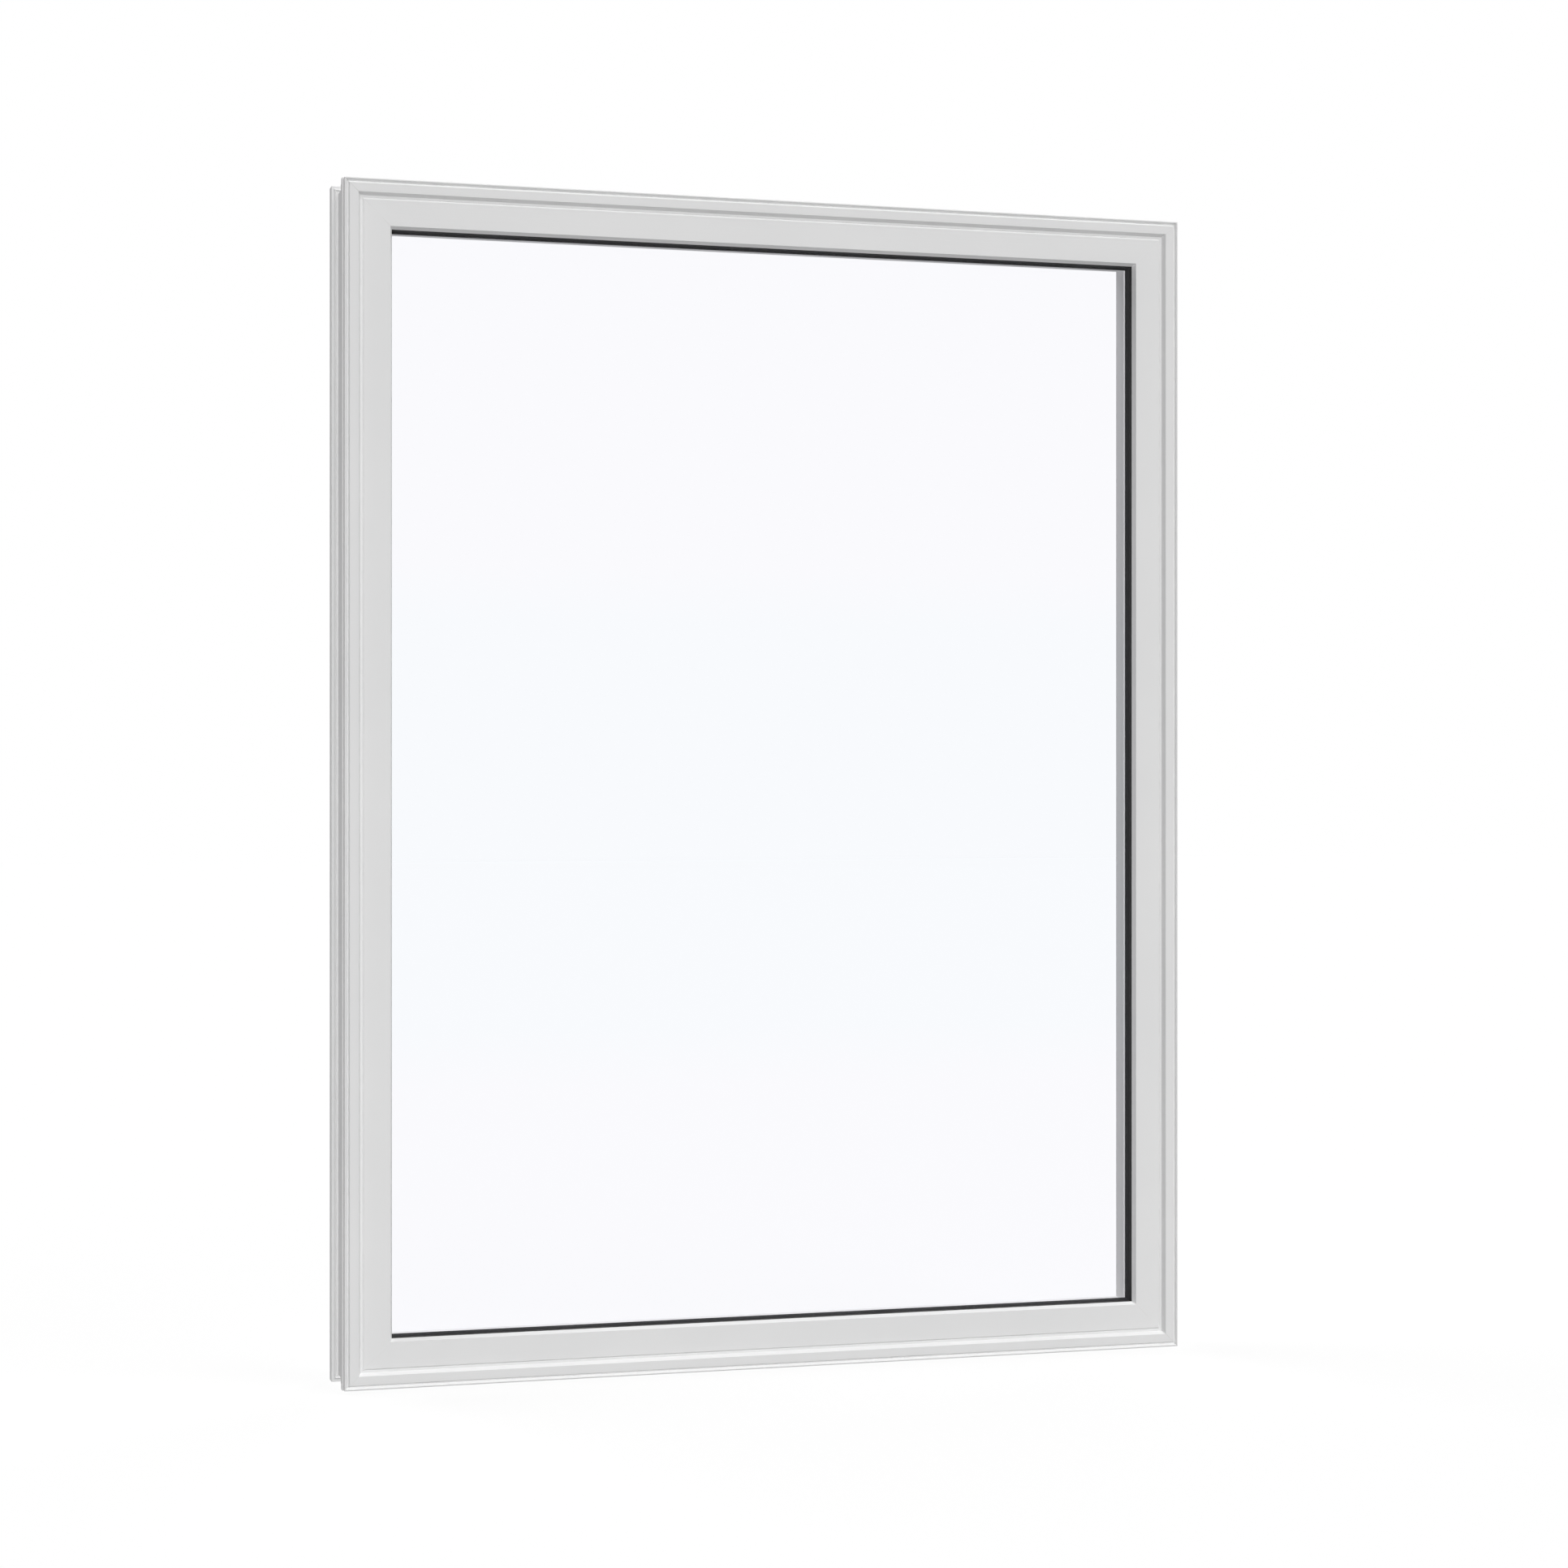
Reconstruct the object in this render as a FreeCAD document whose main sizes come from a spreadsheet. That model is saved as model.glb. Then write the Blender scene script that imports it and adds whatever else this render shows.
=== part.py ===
import FreeCAD, Part
import os
from types import SimpleNamespace
import Sketcher

# A fixed picture window: a mitred plastic frame, glazing beads pressed in from
# the front, and a sealed double glass unit held between a gasket and a tape.
# Millimetres. X runs across the window, Z is up and the front faces -Y. The
# origin is the middle of the bottom edge of the frame's flat back.

SIZES = {
    # Whole window, over the rear flange
    "overall_width": 909.2,
    "overall_height": 1228.4,
    "frame_depth": 89.0,
    # Front face of the frame, from its outer edge inwards
    "lip_setback": 4.6,
    "lip_chamfer": 0.6,
    "lip_width": 1.5,
    "groove_depth": 2.8,
    "groove_outer_flank": 1.5,
    "groove_floor": 0.9,
    "groove_inner_flank": 1.3,
    "face_width": 8.9,
    "step_depth": 5.6,
    "step_draft": 2.4,
    "ledge_width": 2.5,
    # Glazing rebate and the stop behind the glass
    "bead_seat_depth": 6.1,
    "bead_shelf": 15.0,
    "stop_height": 8.0,
    "stop_land": 13.5,
    "stop_draft": 1.0,
    "stop_ledge": 2.1,
    "stop_wall": 22.0,
    "room_step": 11.1,
    # Outer side of the frame, from the front to the back
    "lip_depth": 10.6,
    "fin_reach": 1.15,
    "fin_depth": 8.2,
    "shoulder_setback": 0.65,
    "shoulder_depth": 18.7,
    "flange_width": 7.2,
    "flange_thickness": 15.0,
    # Small rib along the front of the rear flange
    "rib_offset": 2.5,
    "rib_outer_flank": 1.5,
    "rib_inner_flank": 1.3,
    "rib_height": 1.2,
    # Glazing bead
    "bead_width": 29.9,
    "bead_proud": 1.0,
    "bead_chamfer": 1.5,
    "bead_draft": 2.3,
    # Glass unit and what it is bedded on
    "gasket_thickness": 6.9,
    "gasket_width": 9.0,
    "gasket_proud": 0.1,
    "pane_thickness": 3.0,
    "spacer_depth": 6.0,
    "spacer_width": 13.5,
    "tape_thickness": 0.9,
    "glass_clearance": 3.0,
}

doc = FreeCAD.newDocument("picture_window")
sheet = doc.addObject("Spreadsheet::Sheet", "Sizes")
for row, (name, number) in enumerate(SIZES.items(), start=1):
    sheet.set(f"A{row}", name)
    sheet.set(f"B{row}", str(number))
    sheet.setAlias(f"B{row}", name)
doc.recompute()


class Place:
    """A distance in the window: its number in millimetres and its expression on the sheet."""

    def __init__(self, number, expression):
        self.number = number
        self.expression = expression

    def __add__(self, other):
        return Place(self.number + other.number, f"{self.expression} + {other.expression}")

    def __sub__(self, other):
        return Place(self.number - other.number, f"{self.expression} - ({other.expression})")

    def half(self):
        return Place(self.number / 2, f"({self.expression}) / 2")


ZERO = Place(0.0, "0")
size = SimpleNamespace(**{name: Place(number, f"Sizes.{name}") for name, number in SIZES.items()})

# Insets, measured inwards from the outer edge of the rear flange
OUTER_EDGE = ZERO
LIP = size.lip_setback
LIP_CORNER = LIP + size.lip_chamfer
LIP_END = LIP + size.lip_width
GROOVE_START = LIP_END + size.groove_outer_flank
GROOVE_END = GROOVE_START + size.groove_floor
FACE_START = GROOVE_END + size.groove_inner_flank
FACE_END = FACE_START + size.face_width
LEDGE_START = FACE_END + size.step_draft
BEAD_OUTER = LEDGE_START + size.ledge_width
BEAD_FACE_START = BEAD_OUTER + size.bead_chamfer
BEAD_INNER = BEAD_OUTER + size.bead_width
BEAD_FACE_END = BEAD_INNER - size.bead_draft
GASKET_INNER = BEAD_INNER + size.gasket_proud
GASKET_OUTER = GASKET_INNER - size.gasket_width
REBATE = BEAD_OUTER + size.bead_shelf
GLASS_EDGE = REBATE + size.glass_clearance
SPACER_INNER = GLASS_EDGE + size.spacer_width
STOP = REBATE + size.stop_height
STOP_SHOULDER = STOP + size.stop_draft
SIGHT_LINE = STOP_SHOULDER + size.stop_ledge
ROOM_EDGE = SIGHT_LINE - size.room_step
FIN = LIP - size.fin_reach
SHOULDER = LIP + size.shoulder_setback
CHANNEL = size.flange_width
RIB_START = size.rib_offset
RIB_CREST = RIB_START + size.rib_outer_flank
RIB_END = RIB_CREST + size.rib_inner_flank

# Depths, measured back from the front face
FRONT = ZERO
CHAMFER_BACK = size.lip_chamfer
GROOVE = size.groove_depth
LEDGE = size.step_depth
BEAD_FACE = LEDGE - size.bead_proud
SHELF = LEDGE + size.bead_seat_depth
GLASS_FRONT = SHELF + size.gasket_thickness
CAVITY_FRONT = GLASS_FRONT + size.pane_thickness
CAVITY_BACK = CAVITY_FRONT + size.spacer_depth
GLASS_BACK = CAVITY_BACK + size.pane_thickness
STOP_FRONT = GLASS_BACK + size.tape_thickness
LAND_BACK = STOP_FRONT + size.stop_land
WALL_BACK = LAND_BACK + size.stop_wall
FIN_FRONT = size.lip_depth
FIN_BACK = FIN_FRONT + size.fin_depth
SHOULDER_BACK = FIN_BACK + size.shoulder_depth
BACK = size.frame_depth
FLANGE_FRONT = BACK - size.flange_thickness
RIB_TOP = FLANGE_FRONT - size.rib_height


def strip(front, back, outer, inner):
    """Corners of a plain strip's section, as pairs of depth and inset."""
    return [(front, outer), (front, inner), (back, inner), (back, outer)]


FRAME_SECTION = [
    (CHAMFER_BACK, LIP),
    (FRONT, LIP_CORNER),
    (FRONT, LIP_END),
    (GROOVE, GROOVE_START),
    (GROOVE, GROOVE_END),
    (FRONT, FACE_START),
    (FRONT, FACE_END),
    (LEDGE, LEDGE_START),
    (LEDGE, BEAD_OUTER),
    (SHELF, BEAD_OUTER),
    (SHELF, REBATE),
    (STOP_FRONT, REBATE),
    (STOP_FRONT, STOP),
    (LAND_BACK, STOP_SHOULDER),
    (LAND_BACK, SIGHT_LINE),
    (WALL_BACK, SIGHT_LINE),
    (WALL_BACK, ROOM_EDGE),
    (BACK, ROOM_EDGE),
    (BACK, OUTER_EDGE),
    (FLANGE_FRONT, OUTER_EDGE),
    (FLANGE_FRONT, RIB_START),
    (RIB_TOP, RIB_CREST),
    (FLANGE_FRONT, RIB_END),
    (FLANGE_FRONT, CHANNEL),
    (SHOULDER_BACK, CHANNEL),
    (SHOULDER_BACK, SHOULDER),
    (FIN_BACK, SHOULDER),
    (FIN_BACK, FIN),
    (FIN_FRONT, FIN),
    (FIN_FRONT, LIP),
]
BEAD_SECTION = [
    (LEDGE, BEAD_OUTER),
    (BEAD_FACE, BEAD_FACE_START),
    (BEAD_FACE, BEAD_FACE_END),
    (SHELF, BEAD_INNER),
    (SHELF, BEAD_OUTER),
]
GASKET_SECTION = strip(SHELF, GLASS_FRONT, GASKET_OUTER, GASKET_INNER)
SPACER_SECTION = strip(CAVITY_FRONT, CAVITY_BACK, GLASS_EDGE, SPACER_INNER)
TAPE_SECTION = strip(GLASS_BACK, STOP_FRONT, GLASS_EDGE, STOP)


def draw_outline(body, name, plane_role, corners):
    """A closed outline on one of the body's own planes, every corner tied to the sheet."""
    sketch = body.newObject("Sketcher::SketchObject", name)
    plane = next(feature for feature in body.Origin.OriginFeatures if feature.Role == plane_role)
    sketch.AttachmentSupport = [(plane, "")]
    sketch.MapMode = "FlatFace"
    points = [FreeCAD.Vector(across.number, up.number, 0) for across, up in corners]
    for corner, next_corner in zip(points, points[1:] + points[:1]):
        sketch.addGeometry(Part.LineSegment(corner, next_corner), False)
    # A line's start and end are its points 1 and 2, the sketch's own axes are
    # lines -1 and -2, and the origin is the start of line -1
    start, end, h_axis, v_axis = 1, 2, -1, -2
    for line, (across, up) in enumerate(corners):
        next_line = (line + 1) % len(corners)
        sketch.addConstraint(Sketcher.Constraint("Coincident", line, end, next_line, start))
        for kind, zero_axis, place in (("DistanceX", v_axis, across), ("DistanceY", h_axis, up)):
            if place is ZERO:
                sketch.addConstraint(Sketcher.Constraint("PointOnObject", line, start, zero_axis))
            else:
                distance = Sketcher.Constraint(kind, h_axis, start, line, start, place.number)
                number = sketch.addConstraint(distance)
                sketch.setExpression(f"Constraints[{number}]", place.expression)
    return sketch


def put(piece, x, y, z, turn=0):
    """Stands a piece at a place tied to the sheet, turned about Y."""
    piece.Placement = FreeCAD.Placement(
        FreeCAD.Vector(x.number, y.number, z.number),
        FreeCAD.Rotation(FreeCAD.Vector(0, 1, 0), turn),
    )
    for axis, place in zip("xyz", (x, y, z)):
        piece.setExpression(f"Placement.Base.{axis}", place.expression)


def mitred_bar(label, section, length, start_x, start_z, turn):
    """A bar along one side of the window, with both ends cut at 45 degrees."""
    body = doc.addObject("PartDesign::Body", label)
    body.Label = label
    pad = body.newObject("PartDesign::Pad", f"{label}_length")
    pad.Profile = draw_outline(body, f"{label}_section", "YZ_Plane", section)
    pad.setExpression("Length", length.expression)
    doc.recompute()
    # What is sawn off lies above the two lines that rise at 45 degrees from the
    # ends of the outer edge and meet over the middle of the bar
    waste = [(ZERO, ZERO), (length.half(), length.half()), (length, ZERO), (length, length), (ZERO, length)]
    saw = body.newObject("PartDesign::Pocket", f"{label}_mitres")
    saw.Profile = draw_outline(body, f"{label}_waste", "XZ_Plane", waste)
    saw.Type = "ThroughAll"
    saw.SideType = "Symmetric"
    doc.recompute()
    if saw.Shape.Volume >= pad.Shape.Volume:
        raise RuntimeError(f"{label}: the mitres cut nothing")
    put(body, start_x, ZERO - BACK, start_z, turn)
    return body


def pane(label, front):
    """A sheet of glass whose edges stand clear of the rebate all round."""
    glass = doc.addObject("Part::Box", label)
    glass.Label = label
    glass.setExpression("Length", (WIDTH - GLASS_EDGE - GLASS_EDGE).expression)
    glass.setExpression("Width", size.pane_thickness.expression)
    glass.setExpression("Height", (HEIGHT - GLASS_EDGE - GLASS_EDGE).expression)
    put(glass, GLASS_EDGE - WIDTH.half(), front - BACK, GLASS_EDGE)
    return glass


# The four bars of a ring: length, start of the outer edge in X and Z, and the
# turn about Y that points the bar's insets at the middle of the window
WIDTH = size.overall_width
HEIGHT = size.overall_height
LEFT = ZERO - WIDTH.half()
RIGHT = WIDTH.half()
BOTTOM_BAR = (WIDTH, LEFT, ZERO, 0)
RIGHT_BAR = (HEIGHT, RIGHT, ZERO, -90)
TOP_BAR = (WIDTH, RIGHT, HEIGHT, 180)
LEFT_BAR = (HEIGHT, LEFT, HEIGHT, 90)

pieces = [
    mitred_bar("frame_sill", FRAME_SECTION, *BOTTOM_BAR),
    mitred_bar("frame_jamb_right", FRAME_SECTION, *RIGHT_BAR),
    mitred_bar("frame_head", FRAME_SECTION, *TOP_BAR),
    mitred_bar("frame_jamb_left", FRAME_SECTION, *LEFT_BAR),
    pane("outer_pane", GLASS_FRONT),
    pane("inner_pane", CAVITY_BACK),
]
RINGS = {
    "glazing_bead": BEAD_SECTION,
    "glazing_gasket": GASKET_SECTION,
    "glass_spacer": SPACER_SECTION,
    "glazing_tape": TAPE_SECTION,
}
for ring, section in RINGS.items():
    pieces.append(mitred_bar(f"{ring}_bottom", section, *BOTTOM_BAR))
    pieces.append(mitred_bar(f"{ring}_right", section, *RIGHT_BAR))
    pieces.append(mitred_bar(f"{ring}_top", section, *TOP_BAR))
    pieces.append(mitred_bar(f"{ring}_left", section, *LEFT_BAR))

doc.recompute()
for item in doc.Objects:
    if "Invalid" in item.State or "Error" in item.State:
        raise RuntimeError(f"{item.Label} failed: {item.State}")
for piece in pieces:
    if piece.Shape.isNull() or not piece.Shape.isValid() or len(piece.Shape.Solids) != 1:
        raise RuntimeError(f"{piece.Label} is not one valid solid")

os.makedirs("parts", exist_ok=True)
for piece in pieces:
    piece.Shape.exportStep(f"parts/{piece.Label}.step")
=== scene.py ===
import math
from types import SimpleNamespace

import bmesh
import bpy
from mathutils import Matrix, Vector


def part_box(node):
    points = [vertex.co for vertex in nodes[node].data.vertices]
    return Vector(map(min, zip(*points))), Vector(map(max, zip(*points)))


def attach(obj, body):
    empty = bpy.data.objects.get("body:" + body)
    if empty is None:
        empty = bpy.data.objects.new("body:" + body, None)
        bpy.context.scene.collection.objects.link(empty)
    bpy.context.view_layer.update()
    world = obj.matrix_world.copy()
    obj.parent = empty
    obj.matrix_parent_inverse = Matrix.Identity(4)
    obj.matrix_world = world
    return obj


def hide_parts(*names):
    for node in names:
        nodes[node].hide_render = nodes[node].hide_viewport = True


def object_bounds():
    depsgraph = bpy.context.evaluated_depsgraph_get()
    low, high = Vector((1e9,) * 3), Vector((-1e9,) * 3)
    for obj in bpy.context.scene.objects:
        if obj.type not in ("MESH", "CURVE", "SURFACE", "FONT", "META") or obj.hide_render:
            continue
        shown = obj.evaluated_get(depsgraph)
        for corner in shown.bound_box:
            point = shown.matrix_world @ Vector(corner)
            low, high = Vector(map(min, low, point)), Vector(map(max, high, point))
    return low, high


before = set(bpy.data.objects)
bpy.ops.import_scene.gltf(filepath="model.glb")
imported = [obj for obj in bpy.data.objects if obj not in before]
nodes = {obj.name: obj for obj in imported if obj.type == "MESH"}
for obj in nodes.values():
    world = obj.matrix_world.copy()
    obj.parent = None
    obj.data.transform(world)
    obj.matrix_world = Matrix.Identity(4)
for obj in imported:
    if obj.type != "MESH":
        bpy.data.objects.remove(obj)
cad_low, cad_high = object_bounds()

# Frame bars: four lengths of white hollow plastic extrusion, sawn at 45 degrees and welded at the corners.
# The die leaves faint lines along each bar and slightly round edges. The weld bead is cleaned off flush and
# leaves a hairline across each corner.
MM = 0.001
FRAME_BARS = {"X": ("frame_sill", "frame_head"), "Z": ("frame_jamb_left", "frame_jamb_right")}
FRAME_EDGE_RADIUS = 0.25 * MM
VINYL_LIGHT = (0.85, 0.85, 0.85, 1)
VINYL_DEEP = (0.83, 0.831, 0.832, 1)
VINYL_WELD = (0.82, 0.82, 0.815, 1)
VINYL_SMOOTH = 0.6
VINYL_DULL = 0.74
VINYL_SHINE = 0.05
VINYL_LINE_PITCH = 1.6 * MM
VINYL_PORE_PITCH = 0.7 * MM
VINYL_PORE_SHARE = 0.5
VINYL_RELIEF = 0.02 * MM
WELD_HALF_WIDTH = 0.3 * MM


def add_node(tree, kind, inputs=(), **settings):
    """A new node with its settings. Each input is a plain value or a socket to link from."""
    made = tree.nodes.new(kind)
    for name, value in settings.items():
        setattr(made, name, value)
    for name, value in dict(inputs).items():
        if isinstance(value, bpy.types.NodeSocket):
            tree.links.new(value, made.inputs[name])
        else:
            made.inputs[name].default_value = value
    return made


def add_math(tree, operation, first, second=0.0):
    """The result of one arithmetic step between nodes."""
    return add_node(tree, "ShaderNodeMath", {0: first, 1: second}, operation=operation).outputs[0]


def add_mean(tree, first, second):
    """The value half way between two others."""
    return add_math(tree, "MULTIPLY", add_math(tree, "ADD", first, second), 0.5)


def add_range(tree, value, from_low, from_high, to_low, to_high):
    """A value moved from one range to another, and held there at both ends."""
    ends = {"Value": value, "From Min": from_low, "From Max": from_high, "To Min": to_low, "To Max": to_high}
    return add_node(tree, "ShaderNodeMapRange", ends).outputs["Result"]


def add_blend(tree, factor, first, second):
    """A colour between two others."""
    first_colour, second_colour, result = 6, 7, 2
    colours = {"Factor": factor, first_colour: first, second_colour: second}
    return add_node(tree, "ShaderNodeMix", colours, data_type="RGBA").outputs[result]


def new_group(name, inputs, outputs):
    """An empty shader group with its named sockets, and its input and output sockets inside."""
    group = bpy.data.node_groups.new(name, "ShaderNodeTree")
    for socket, kind in inputs.items():
        group.interface.new_socket(socket, in_out="INPUT", socket_type=f"NodeSocket{kind}")
    for socket in outputs:
        group.interface.new_socket(socket, in_out="OUTPUT", socket_type="NodeSocketFloat")
    return group, group.nodes.new("NodeGroupInput").outputs, group.nodes.new("NodeGroupOutput").inputs


def drawn_surface_group():
    """What every extruded strip shows close up: die lines along it, a broad mottle and fine pores."""
    mottles_per_metre = 9.0
    line_detail, mottle_detail, pore_detail = 4.0, 3.0, 2.0
    noise_low, noise_high = 0.3, 0.7
    group, given, result = new_group(
        "drawn_surface",
        {"Place": "Vector", "Squeezed": "Vector", "Line Pitch": "Float", "Pore Pitch": "Float"},
        ("Lines", "Mottle", "Pores"),
    )
    lines_per_metre = add_math(group, "DIVIDE", 1.0, given["Line Pitch"])
    pores_per_metre = add_math(group, "DIVIDE", 1.0, given["Pore Pitch"])
    patterns = {
        "Lines": (given["Squeezed"], lines_per_metre, line_detail),
        "Mottle": (given["Place"], mottles_per_metre, mottle_detail),
        "Pores": (given["Place"], pores_per_metre, pore_detail),
    }
    for output, (vector, scale, detail) in patterns.items():
        noise = add_node(group, "ShaderNodeTexNoise", {"Vector": vector, "Scale": scale, "Detail": detail})
        spread = add_range(group, noise.outputs["Fac"], noise_low, noise_high, 0.0, 1.0)
        group.links.new(spread, result[output])
    return group


DRAWN_SURFACE = drawn_surface_group()


def add_drawn_surface(tree, place, along, line_pitch, pore_pitch):
    """Those marks on a strip that runs along X or Z: the pattern is drawn out along the strip."""
    drawn_out = 0.004
    scale = {"X": (drawn_out, 1, 1), "Z": (1, 1, drawn_out)}[along]
    squeezed = add_node(tree, "ShaderNodeMapping", {"Vector": place, "Scale": scale}).outputs["Vector"]
    sockets = {"Place": place, "Squeezed": squeezed, "Line Pitch": line_pitch, "Pore Pitch": pore_pitch}
    return add_node(tree, "ShaderNodeGroup", sockets, node_tree=DRAWN_SURFACE).outputs


def corner_seam_group():
    """A hairline where two bars meet: the points as far in from a side as from the top or bottom."""
    group, given, result = new_group("corner_seam", {"Place": "Vector", "Half Width": "Float"}, ("Seam",))
    place = add_node(group, "ShaderNodeSeparateXYZ", {"Vector": given["Place"]}).outputs
    half_width = (cad_high.x - cad_low.x) / 2
    half_height = (cad_high.z - cad_low.z) / 2
    across = add_math(group, "ABSOLUTE", place["X"])
    up = add_math(group, "ABSOLUTE", add_math(group, "SUBTRACT", place["Z"], half_height))
    off_corner = add_math(group, "SUBTRACT", across, add_math(group, "ADD", up, half_width - half_height))
    distance = add_math(group, "MULTIPLY", add_math(group, "ABSOLUTE", off_corner), math.sqrt(0.5))
    fading = add_math(group, "DIVIDE", distance, given["Half Width"])
    group.links.new(add_range(group, fading, 0.0, 1.0, 1.0, 0.0), result["Seam"])
    return group


CORNER_SEAM = corner_seam_group()


def new_material(name):
    """A material, its node tree, its Principled shader and the object coordinates that pattern it."""
    material = bpy.data.materials.new(name)
    material.use_nodes = True
    tree = material.node_tree
    place = tree.nodes.new("ShaderNodeTexCoord").outputs["Object"]
    return material, tree, tree.nodes["Principled BSDF"], place


def add_relief(tree, shader, height, depth):
    """A bump of the given depth in metres on a shader."""
    bump = add_node(tree, "ShaderNodeBump", {"Height": height, "Distance": depth, "Strength": 1.0})
    tree.links.new(bump.outputs["Normal"], shader.inputs["Normal"])


def vinyl_material(name, along, welded):
    """White plastic: mottled by a shade or two, with die lines in its gloss and its relief."""
    material, tree, shader, place = new_material(name)
    marks = add_drawn_surface(tree, place, along, VINYL_LINE_PITCH, VINYL_PORE_PITCH)
    colour = add_blend(tree, marks["Mottle"], VINYL_LIGHT, VINYL_DEEP)
    dullness = add_mean(tree, marks["Lines"], marks["Mottle"])
    pores = add_math(tree, "MULTIPLY", marks["Pores"], VINYL_PORE_SHARE)
    height = add_math(tree, "ADD", marks["Lines"], pores)
    if welded:
        sockets = {"Place": place, "Half Width": WELD_HALF_WIDTH}
        seam = add_node(tree, "ShaderNodeGroup", sockets, node_tree=CORNER_SEAM).outputs["Seam"]
        colour = add_blend(tree, seam, colour, VINYL_WELD)
        dullness = add_math(tree, "MAXIMUM", dullness, seam)
        height = add_math(tree, "SUBTRACT", height, seam)
    roughness = add_range(tree, dullness, 0.0, 1.0, VINYL_SMOOTH, VINYL_DULL)
    tree.links.new(colour, shader.inputs["Base Color"])
    tree.links.new(roughness, shader.inputs["Roughness"])
    shader.inputs["Specular IOR Level"].default_value = VINYL_SHINE
    add_relief(tree, shader, height, VINYL_RELIEF)
    return material


def round_edges(node, radius):
    """Rounds every sharp edge of a solid a little. Its triangles are joined into whole faces first."""
    same_point = 0.01 * MM
    flat = math.radians(1)
    sharp = math.radians(20)
    rounding_steps = 2
    piece = nodes[node]
    joined = piece.modifiers.new("join_triangles", "WELD")
    joined.merge_threshold = same_point
    faces = piece.modifiers.new("whole_faces", "DECIMATE")
    faces.decimate_type = "DISSOLVE"
    faces.angle_limit = flat
    rounded = piece.modifiers.new("round_edges", "BEVEL")
    rounded.width = radius
    rounded.segments = rounding_steps
    rounded.limit_method = "ANGLE"
    rounded.angle_limit = sharp
    shading = piece.modifiers.new("even_shading", "WEIGHTED_NORMAL")
    shading.keep_sharp = False


def finish_node(node, material):
    """Gives a solid its one material."""
    nodes[node].data.materials.clear()
    nodes[node].data.materials.append(material)


for along, bars in FRAME_BARS.items():
    frame_vinyl = vinyl_material(f"frame_vinyl_along_{along.lower()}", along, welded=True)
    for bar in bars:
        finish_node(bar, frame_vinyl)
        round_edges(bar, FRAME_EDGE_RADIUS)


# Glazing tape: a thin pale closed-cell foam strip stuck on the frame's stop. The glass unit is pressed onto
# it from the front, and at most its edge shows, on the room side.
SIDES_ALONG = {"X": ("bottom", "top"), "Z": ("right", "left")}
FOAM_LIGHT = (0.74, 0.74, 0.73, 1)
FOAM_DEEP = (0.62, 0.62, 0.615, 1)
FOAM_SMOOTH = 0.8
FOAM_DULL = 0.95
FOAM_CELL = 0.5 * MM
FOAM_RELIEF = 0.08 * MM


def foam_material():
    """Pale foam whose skin shows its cells."""
    cell_middle, cell_rim = 0.1, 0.7
    material, tree, shader, place = new_material("glazing_foam")
    cells = add_node(tree, "ShaderNodeTexVoronoi", {"Vector": place, "Scale": 1 / FOAM_CELL})
    rim = add_range(tree, cells.outputs["Distance"], cell_middle, cell_rim, 0.0, 1.0)
    tree.links.new(add_blend(tree, rim, FOAM_DEEP, FOAM_LIGHT), shader.inputs["Base Color"])
    tree.links.new(add_range(tree, rim, 0.0, 1.0, FOAM_DULL, FOAM_SMOOTH), shader.inputs["Roughness"])
    add_relief(tree, shader, rim, FOAM_RELIEF)
    return material


foam = foam_material()
for sides in SIDES_ALONG.values():
    for side in sides:
        finish_node(f"glazing_tape_{side}", foam)


# Glass spacer: the black bar that keeps the two panes apart round their edge. It is a matt plastic profile
# with two fine grooves in its inner face, a canted front shoulder and a raised back edge, cut at 45 degrees
# at the corners and bonded between the panes.
SPACER_OFF_GLASS = 0.1 * MM
SPACER_FRONT_CANT = 1.2 * MM
SPACER_BACK_CANT = 0.6 * MM
SPACER_BACK_RISE = 0.25 * MM
SPACER_GROOVE_WIDTH = 0.6 * MM
SPACER_GROOVE_DEPTH = 0.4 * MM
SPACER_GROOVES_AT = (0.36, 0.64)
SPACER_BLACK = (0.043, 0.0435, 0.045, 1)
SPACER_GREY = (0.058, 0.0585, 0.06, 1)
SPACER_SMOOTH = 0.7
SPACER_DULL = 0.9
SPACER_SHINE = 0.03
BLACK_LINE_PITCH = 0.5 * MM
BLACK_PORE_PITCH = 0.25 * MM
BLACK_RELIEF = 0.03 * MM


def start_strip(name, node, off_front, off_back):
    """A block where a side strip lies, longer than the strip and open in edit mode. With it come the way
    the strip runs, the way to the middle of the glass, and the strip's limits along both and in depth."""
    spare_length = 40 * MM
    low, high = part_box(node)
    to_middle = cad_low + cad_high - low - high
    if high.x - low.x > high.z - low.z:
        run, inward = Vector((1, 0, 0)), Vector((0, 0, math.copysign(1, to_middle.z)))
    else:
        run, inward = Vector((0, 0, 1)), Vector((math.copysign(1, to_middle.x), 0, 0))
    strip = SimpleNamespace(run=run, inward=inward, front=low.y + off_front, back=high.y - off_back)
    strip.start, strip.end = low.dot(run), high.dot(run)
    strip.outer, strip.inner = sorted((low.dot(inward), high.dot(inward)))
    size = high - low + run * spare_length
    size.y = strip.back - strip.front
    middle = (low + high) / 2
    middle.y = (strip.front + strip.back) / 2
    bpy.ops.object.select_all(action="DESELECT")
    bpy.ops.mesh.primitive_cube_add(size=1, location=middle, scale=size)
    strip.piece = bpy.context.object
    strip.piece.name = name
    strip.piece.data.name = name
    bpy.ops.object.transform_apply(location=True, rotation=True, scale=True)
    bpy.ops.object.mode_set(mode="EDIT")
    return strip


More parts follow.
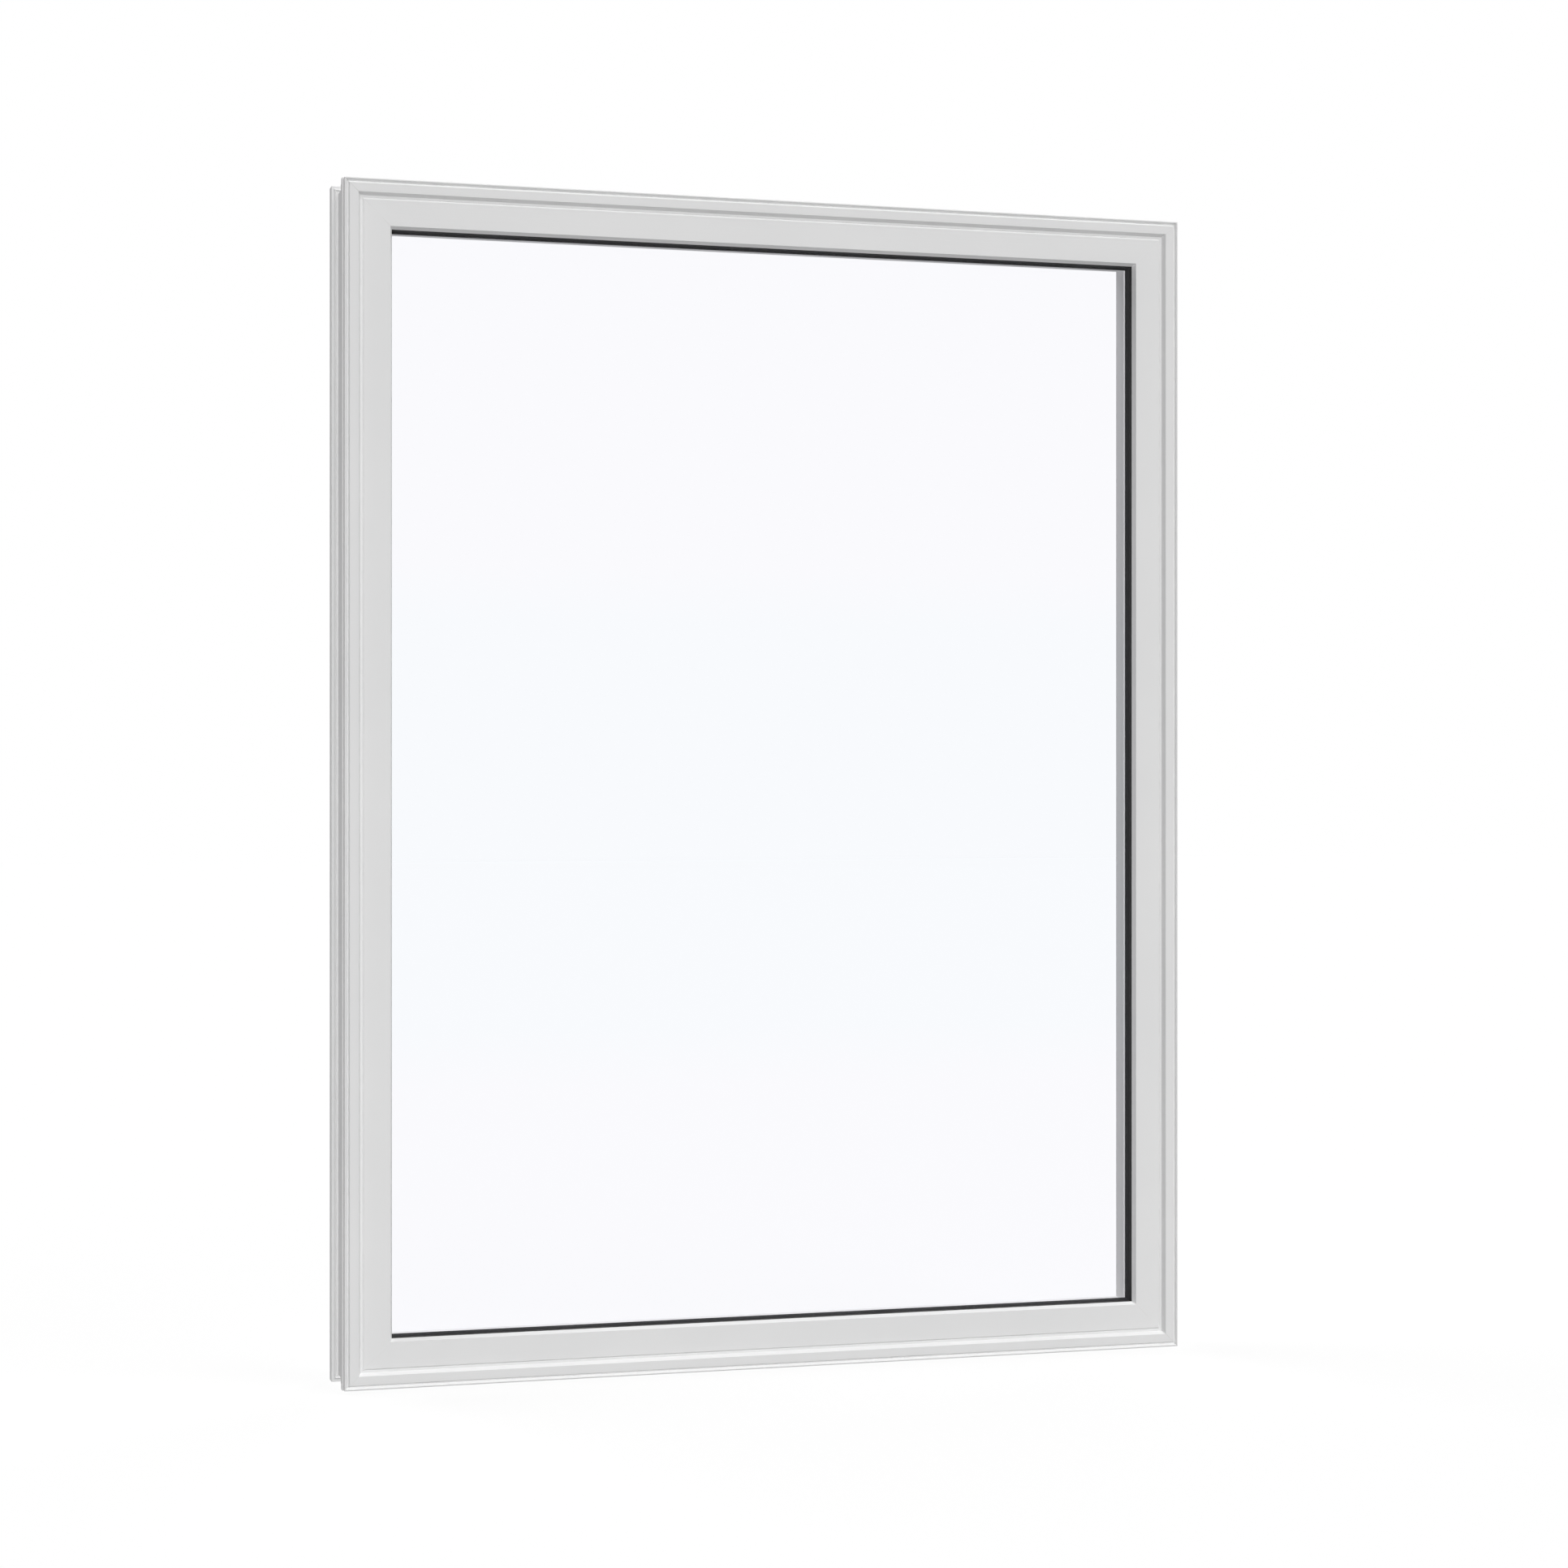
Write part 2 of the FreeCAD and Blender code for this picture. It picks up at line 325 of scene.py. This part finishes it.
def sink_groove(strip, front, back, depth):
    """A groove along the strip's inner face between two depths."""
    facing_inward = 0.9
    for edge in (front, back):
        bpy.ops.mesh.select_all(action="SELECT")
        bpy.ops.mesh.bisect(plane_co=(0, edge, 0), plane_no=(0, 1, 0))
    bpy.ops.mesh.select_mode(type="FACE")
    bpy.ops.mesh.select_all(action="DESELECT")
    shape = bmesh.from_edit_mesh(strip.piece.data)
    for face in shape.faces:
        in_groove = front < face.calc_center_median().y < back
        face.select_set(in_groove and face.normal.dot(strip.inward) > facing_inward)
    bmesh.update_edit_mesh(strip.piece.data)
    bpy.ops.mesh.extrude_region_move(TRANSFORM_OT_translate={"value": -depth * strip.inward})


def select_inner_edges(strip, depths):
    """Selects the edges that run along the inner face at the given depths."""
    touching = 0.01 * MM
    bpy.ops.mesh.select_mode(type="EDGE")
    bpy.ops.mesh.select_all(action="DESELECT")
    shape = bmesh.from_edit_mesh(strip.piece.data)
    for edge in shape.edges:
        start, end = (corner.co for corner in edge.verts)
        middle = (start + end) / 2
        on_face = abs(middle.dot(strip.inward) - strip.inner) < touching
        at_depth = any(abs(middle.y - depth) < touching for depth in depths)
        lengthwise = abs((end - start).dot(strip.run)) > touching
        edge.select_set(on_face and at_depth and lengthwise)
    bmesh.update_edit_mesh(strip.piece.data)


def end_strip(strip):
    """Cuts both ends at 45 degrees and leaves edit mode with a closed, smoothly shaded strip."""
    same_point = 0.001 * MM
    smooth_up_to = math.radians(30)
    for end, away in ((strip.start, -strip.run), (strip.end, strip.run)):
        outer_corner = strip.run * end + strip.inward * strip.outer
        bpy.ops.mesh.select_all(action="SELECT")
        bpy.ops.mesh.bisect(
            plane_co=outer_corner, plane_no=away + strip.inward, use_fill=True, clear_outer=True
        )
    bpy.ops.mesh.select_all(action="SELECT")
    bpy.ops.mesh.remove_doubles(threshold=same_point)
    bpy.ops.mesh.normals_make_consistent(inside=False)
    bpy.ops.object.mode_set(mode="OBJECT")
    bpy.ops.object.shade_smooth_by_angle(angle=smooth_up_to)
    return strip.piece


def copy_half_turn(piece, name):
    """The same strip on the opposite side, turned half round about the middle of the window."""
    bpy.ops.object.select_all(action="DESELECT")
    piece.select_set(True)
    bpy.context.view_layer.objects.active = piece
    bpy.ops.object.duplicate()
    twin = bpy.context.object
    twin.name = name
    twin.data.name = name
    bpy.ops.transform.rotate(value=math.pi, orient_axis="Y", center_override=(cad_low + cad_high) / 2)
    bpy.ops.object.transform_apply(location=True, rotation=True, scale=True)
    return twin


def fix_strip(piece, node, material):
    """Finishes a strip and sets it in the place of its plain solid."""
    piece.data.materials.clear()
    piece.data.materials.append(material)
    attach(piece, "root")
    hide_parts(node)


def spacer_strip(name, node):
    """Two grooves, then the two canted shoulders, and the edge of the back one raised."""
    strip = start_strip(name, node, SPACER_OFF_GLASS, SPACER_OFF_GLASS)
    for share in SPACER_GROOVES_AT:
        groove = strip.front + share * (strip.back - strip.front)
        half_groove = SPACER_GROOVE_WIDTH / 2
        sink_groove(strip, groove - half_groove, groove + half_groove, SPACER_GROOVE_DEPTH)
    for edge, cant in ((strip.front, SPACER_FRONT_CANT), (strip.back, SPACER_BACK_CANT)):
        select_inner_edges(strip, (edge,))
        bpy.ops.mesh.bevel(offset=cant, segments=1, affect="EDGES")
    select_inner_edges(strip, (strip.back - SPACER_BACK_CANT,))
    bpy.ops.transform.translate(value=SPACER_BACK_RISE * strip.inward)
    return end_strip(strip)


def black_material(name, along, black, grey, smooth, dull, shine):
    """Black plastic or rubber: die lines along it, a greyer bloom here and there, and a matt skin."""
    material, tree, shader, place = new_material(name)
    marks = add_drawn_surface(tree, place, along, BLACK_LINE_PITCH, BLACK_PORE_PITCH)
    bloom = add_mean(tree, marks["Mottle"], marks["Pores"])
    tree.links.new(add_blend(tree, bloom, black, grey), shader.inputs["Base Color"])
    tree.links.new(add_range(tree, marks["Lines"], 0.0, 1.0, smooth, dull), shader.inputs["Roughness"])
    shader.inputs["Specular IOR Level"].default_value = shine
    add_relief(tree, shader, add_math(tree, "ADD", marks["Lines"], marks["Pores"]), BLACK_RELIEF)
    return material


for along, (side, opposite) in SIDES_ALONG.items():
    spacer_black = black_material(
        f"spacer_black_along_{along.lower()}", along,
        SPACER_BLACK, SPACER_GREY, SPACER_SMOOTH, SPACER_DULL, SPACER_SHINE,
    )
    spacer = spacer_strip(f"spacer_bar_{side}", f"glass_spacer_{side}")
    twin = copy_half_turn(spacer, f"spacer_bar_{opposite}")
    fix_strip(spacer, f"glass_spacer_{side}", spacer_black)
    fix_strip(twin, f"glass_spacer_{opposite}", spacer_black)


# Panes: two sheets of clear float glass, bonded to the spacer as one sealed unit. The glass has a trace of
# blue, a painted reflection as a slightly bluer band across the middle, slight ripples, and a faint bloom
# where it was wiped.
PANES = ("outer_pane", "inner_pane")
GLASS_CLEAR = (0.978, 0.978, 0.9917, 1)
# The bluer colour and the heights of its band are a painted reflection of the studio on the glass.
GLASS_PAINTED_REFLECTION = (0.9694, 0.978, 0.9917, 1)
GLASS_FACE_CLEAR = (0.99, 0.99, 0.996, 1)
GLASS_PAINTED_REFLECTION_FROM = 0.30
GLASS_PAINTED_REFLECTION_TO = 0.84
GLASS_PAINTED_REFLECTION_FADE = 0.06
GLASS_INDEX = 1.12
GLASS_BLOOM = 0.02
GLASS_RIPPLES_PER_METRE = 7.0
GLASS_RIPPLE = 0.01 * MM


def glass_material():
    """Clear glass that lets the lamps and the light of the room straight through."""
    bloom_from, bloom_to = 0.4, 0.8
    ripple_detail = 1.0
    material, tree, shader, place = new_material("clear_glass")
    height = add_node(tree, "ShaderNodeSeparateXYZ", {"Vector": place}).outputs["Z"]
    # The bluer band between two heights is a painted reflection blended into the glass's own faint blue.
    reflection_band_start = add_range(tree, height, GLASS_PAINTED_REFLECTION_FROM, GLASS_PAINTED_REFLECTION_FROM + GLASS_PAINTED_REFLECTION_FADE, 0.0, 1.0)
    reflection_band_end = add_range(tree, height, GLASS_PAINTED_REFLECTION_TO - GLASS_PAINTED_REFLECTION_FADE, GLASS_PAINTED_REFLECTION_TO, 1.0, 0.0)
    tint_and_painted_reflection = add_blend(tree, add_math(tree, "MULTIPLY", reflection_band_start, reflection_band_end), GLASS_CLEAR, GLASS_PAINTED_REFLECTION)
    tree.links.new(tint_and_painted_reflection, shader.inputs["Base Color"])
    ripples = add_node(tree, "ShaderNodeTexNoise", {
        "Vector": place, "Scale": GLASS_RIPPLES_PER_METRE, "Detail": ripple_detail,
    }).outputs["Fac"]
    bloom = add_range(tree, ripples, bloom_from, bloom_to, 0.0, GLASS_BLOOM)
    tree.links.new(bloom, shader.inputs["Roughness"])
    add_relief(tree, shader, ripples, GLASS_RIPPLE)
    shader.inputs["Transmission Weight"].default_value = 1.0
    shader.inputs["IOR"].default_value = GLASS_INDEX
    ray = tree.nodes.new("ShaderNodeLightPath").outputs
    lights_the_room = add_math(tree, "MAXIMUM", ray["Is Shadow Ray"], ray["Is Diffuse Ray"])
    open_glass = add_node(tree, "ShaderNodeBsdfTransparent", {"Color": GLASS_FACE_CLEAR})
    both = add_node(tree, "ShaderNodeMixShader", {
        0: lights_the_room, 1: shader.outputs["BSDF"], 2: open_glass.outputs["BSDF"],
    })
    tree.links.new(both.outputs["Shader"], tree.nodes["Material Output"].inputs["Surface"])
    return material


glass = glass_material()
for pane in PANES:
    finish_node(pane, glass)


# Gasket: an extruded black rubber strip pushed in between the bead and the glass. A round nose meets the
# bead, and behind a groove a soft lip leans out onto the glass.
GASKET_OFF_GLASS = 0.05 * MM
GASKET_NOSE = 2.6 * MM
GASKET_GROOVE_WIDTH = 1.0 * MM
GASKET_GROOVE_DEPTH = 1.3 * MM
GASKET_LIP_LEAN = 0.6 * MM
GASKET_ROUNDING = 0.25 * MM
GASKET_ROUNDING_STEPS = 3
RUBBER_BLACK = (0.045, 0.045, 0.046, 1)
RUBBER_GREY = (0.065, 0.065, 0.066, 1)
RUBBER_SMOOTH = 0.65
RUBBER_DULL = 0.85
RUBBER_SHINE = 0.06


def gasket_strip(name, node):
    """A groove, the lip's front edge leaned back, and all four edges rounded."""
    strip = start_strip(name, node, 0.0, GASKET_OFF_GLASS)
    groove_front = strip.front + GASKET_NOSE
    lip = groove_front + GASKET_GROOVE_WIDTH
    sink_groove(strip, groove_front, lip, GASKET_GROOVE_DEPTH)
    select_inner_edges(strip, (strip.front, groove_front, strip.back))
    bpy.ops.mesh.bevel(offset=GASKET_ROUNDING, segments=GASKET_ROUNDING_STEPS, affect="EDGES")
    select_inner_edges(strip, (lip,))
    bpy.ops.transform.translate(value=-GASKET_LIP_LEAN * strip.inward)
    bpy.ops.mesh.bevel(offset=GASKET_ROUNDING, segments=GASKET_ROUNDING_STEPS, affect="EDGES")
    return end_strip(strip)


for along, (side, opposite) in SIDES_ALONG.items():
    rubber = black_material(
        f"gasket_rubber_along_{along.lower()}", along,
        RUBBER_BLACK, RUBBER_GREY, RUBBER_SMOOTH, RUBBER_DULL, RUBBER_SHINE,
    )
    gasket = gasket_strip(f"gasket_{side}", f"glazing_gasket_{side}")
    twin = copy_half_turn(gasket, f"gasket_{opposite}")
    fix_strip(gasket, f"glazing_gasket_{side}", rubber)
    fix_strip(twin, f"glazing_gasket_{opposite}", rubber)


# Glazing beads: four broad flat strips of the same white plastic, mitred at the corners and pressed into the
# frame from the front to hold the glass unit. They are not welded, so a fine joint shows round them.
BEAD_EDGE_RADIUS = 0.2 * MM

for along, sides in SIDES_ALONG.items():
    bead_vinyl = vinyl_material(f"bead_vinyl_along_{along.lower()}", along, welded=False)
    for side in sides:
        finish_node(f"glazing_bead_{side}", bead_vinyl)
        round_edges(f"glazing_bead_{side}", BEAD_EDGE_RADIUS)


# Floor and light: a plain pale studio floor under the window, a soft front light that throws no shadow, and
# three weaker wide lights that throw faint ones. The floor and the room read as white.
FLOOR_SIZE = 40.0
FLOOR_TONE = (0.2, 0.2, 0.2, 1)
FLOOR_WHITE = 0.804
FLOOR_BOUNCE = 0.3
ROOM_LIGHT = 0.02
STUDIO_WHITE = (1, 1, 1, 1)
# Each lamp's turn about the upright, where 0 is in front and 90 to the right, its height above level in
# degrees, its strength, how wide it is in degrees and whether it throws shadows
LAMPS = {
    "front": (0, 48, 2.03, 30, False),
    "front_right": (40, 45, 0.8, 40, True),
    "behind_left": (-130, 42, 1.0, 40, True),
    "behind_right": (140, 12, 1.4, 40, True),
}


def add_seen_directly(tree):
    """1 for rays that show the studio itself, straight or in a reflection or through glass."""
    ray = tree.nodes.new("ShaderNodeLightPath").outputs
    mirrored = add_math(tree, "MAXIMUM", ray["Is Glossy Ray"], ray["Is Transmission Ray"])
    return add_math(tree, "MAXIMUM", ray["Is Camera Ray"], mirrored)


bpy.ops.object.select_all(action="DESELECT")
bpy.ops.mesh.primitive_plane_add(size=FLOOR_SIZE, location=(0, 0, cad_low.z))
floor = bpy.context.object
floor.name = "studio_floor"
floor_material, tree, shader, _ = new_material("studio_floor")
shader.inputs["Base Color"].default_value = FLOOR_TONE
shader.inputs["Roughness"].default_value = 1.0
shader.inputs["Specular IOR Level"].default_value = 0.0
shader.inputs["Emission Color"].default_value = STUDIO_WHITE
glow = add_range(tree, add_seen_directly(tree), 0.0, 1.0, FLOOR_BOUNCE, FLOOR_WHITE)
tree.links.new(glow, shader.inputs["Emission Strength"])
floor.data.materials.append(floor_material)

room = bpy.data.worlds.new("studio_room")
room.use_nodes = True
bpy.context.scene.world = room
tree = room.node_tree
room_strength = add_range(tree, add_seen_directly(tree), 0.0, 1.0, ROOM_LIGHT, 1.0)
tree.nodes["Background"].inputs["Color"].default_value = STUDIO_WHITE
tree.links.new(room_strength, tree.nodes["Background"].inputs["Strength"])

for name, (turn, height, strength, spread, throws_shadow) in LAMPS.items():
    bpy.ops.object.light_add(type="SUN", rotation=(math.radians(90 - height), 0, math.radians(turn)))
    lamp = bpy.context.object
    lamp.name = f"{name}_light"
    lamp.data.energy = strength
    lamp.data.angle = math.radians(spread)
    lamp.data.use_shadow = throws_shadow
    lamp.visible_transmission = False


# Camera: in front and to the left, level with the middle of the window and turned 15 degrees to the right,
# with a lens that takes in 30 degrees.
CAMERA_PLACE = (-0.801, -3.0365, 0.6142)
CAMERA_TURN = 15.333
CAMERA_VIEW = 30.0
bpy.ops.object.camera_add(location=CAMERA_PLACE, rotation=(math.radians(90), 0, math.radians(-CAMERA_TURN)))
camera = bpy.context.object
camera.data.lens_unit = "FOV"
camera.data.angle = math.radians(CAMERA_VIEW)
bpy.context.scene.camera = camera
bpy.context.scene.view_settings.view_transform = "Standard"
